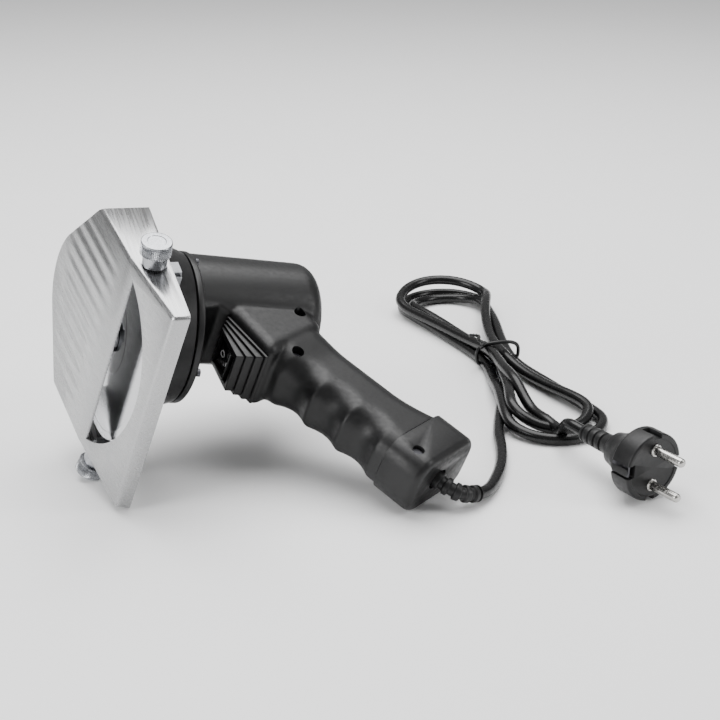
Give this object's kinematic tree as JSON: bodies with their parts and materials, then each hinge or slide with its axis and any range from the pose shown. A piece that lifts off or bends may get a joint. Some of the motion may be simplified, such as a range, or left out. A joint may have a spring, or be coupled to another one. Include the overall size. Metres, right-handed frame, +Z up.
{
  "type": "electric rotary slicing knife",
  "caption": "Hand-held electric slicer with a round blade behind a stainless guard, black pistol handle, rocker switch and tied mains cord, lying on its side.",
  "frame": {"origin": "centre of the bottom of the knife's bounding box, on the table it lies on", "axes": "+Z up from the table, +X towards the blade along the drive shaft's direction seen from above, +Y towards the end of the handle"},
  "size_m": [0.3227, 0.3366, 0.1425],
  "materials": {
    "sheet_steel": "brushed",
    "blade_steel": "polished",
    "bright_steel": "polished, knurled rim",
    "plain_steel": "plain",
    "motor_steel": "dull",
    "magnet": "dull",
    "carbon": "dull",
    "brass": "plain",
    "gear_plastic": "plain",
    "fan_plastic": "plain",
    "body_plastic": "fine satin",
    "switch_plastic": "satin",
    "rocker_plastic": "glossy",
    "dark_screw": "blackened",
    "cord_sheath": "smooth",
    "plug_plastic": "satin",
    "pin_nickel": "nickel plated"
  },
  "bodies": {
    "body": {"guard_bracket": "plain_steel", "bracket_screw_left": "plain_steel", "bracket_screw_right": "plain_steel", "gear_case": "body_plastic", "gear_case_plate": "body_plastic", "case_screw_1": "plain_steel", "case_screw_2": "plain_steel", "case_screw_3": "plain_steel", "blade_bearing_front": "plain_steel", "blade_bearing_back": "brass", "motor_can": "motor_steel", "motor_magnet_left": "magnet", "motor_magnet_right": "magnet", "motor_plate_front": "motor_steel", "motor_plate_back": "motor_steel", "motor_bearing_front": "brass", "motor_bearing_back": "brass", "brush_left": "carbon", "brush_right": "carbon", "body_shell_left": "body_plastic", "body_shell_right": "body_plastic", "body_screw_upper": "dark_screw", "body_screw_lower": "dark_screw", "handle_end_cap": "body_plastic", "cap_screw_side": "dark_screw", "cap_screw_back": "dark_screw", "switch_body": "switch_plastic", "switch_bezel": "switch_plastic", "strain_relief": "cord_sheath", "cord_clamp": "switch_plastic", "power_cord_lead": "cord_sheath", "power_cord_bundle": "cord_sheath", "cord_tie": "cord_sheath", "plug_body": "plug_plastic", "plug_pin_upper": "pin_nickel", "plug_pin_lower": "pin_nickel", "earth_contact_left": "brass", "earth_contact_right": "brass", "power_cord_tail": "cord_sheath"},
    "guard": {"blade_guard": "sheet_steel"},
    "screw_left": {"thumb_screw_left": "bright_steel", "screw_stud_left": "plain_steel"},
    "screw_right": {"thumb_screw_right": "bright_steel", "screw_stud_right": "plain_steel"},
    "cutter": {"blade": "blade_steel", "blade_nut": "plain_steel", "blade_hub": "plain_steel", "blade_shaft": "plain_steel", "driven_gear": "gear_plastic"},
    "rotor": {"pinion": "brass", "motor_shaft": "plain_steel", "armature": "motor_steel", "commutator": "brass", "cooling_fan": "fan_plastic"},
    "rocker": {"switch_rocker": "rocker_plastic"}
  },
  "joints": [
    {"name": "guard_slide", "type": "slide", "parent": "body", "child": "guard", "axis": [0.9766, 0, 0.215], "range_m": [-0.003, 0.003]},
    {"name": "thumb_screw_left_turn", "type": "hinge", "parent": "body", "child": "screw_left", "pos_m": [0.05679, 0.01504, 0.12647], "axis": [-0.0491, 0.3064, 0.9506], "range_deg": [0, 540]},
    {"name": "thumb_screw_right_turn", "type": "hinge", "parent": "body", "child": "screw_right", "pos_m": [0.0812, -0.02202, 0.01555], "axis": [0.3546, -0.3064, -0.8834], "range_deg": [0, 540]},
    {"name": "blade_spin", "type": "hinge", "parent": "body", "child": "cutter", "pos_m": [0.06769, -0.02557, 0.0781], "axis": [0.9766, 0, 0.215], "continuous": true},
    {"name": "motor_spin", "type": "hinge", "parent": "body", "child": "rotor", "pos_m": [-0.00077, -0.05123, 0.07161], "axis": [0.9766, 0, 0.215], "continuous": true},
    {"name": "rocker_tilt", "type": "hinge", "parent": "body", "child": "rocker", "pos_m": [0.01184, -0.01083, 0.06088], "axis": [-0.2044, 0.3102, 0.9284], "range_deg": [0, 10]}
  ],
  "couplings": [
    {"joint": "motor_spin", "follows": "blade_spin", "ratio": -3.5}
  ]
}
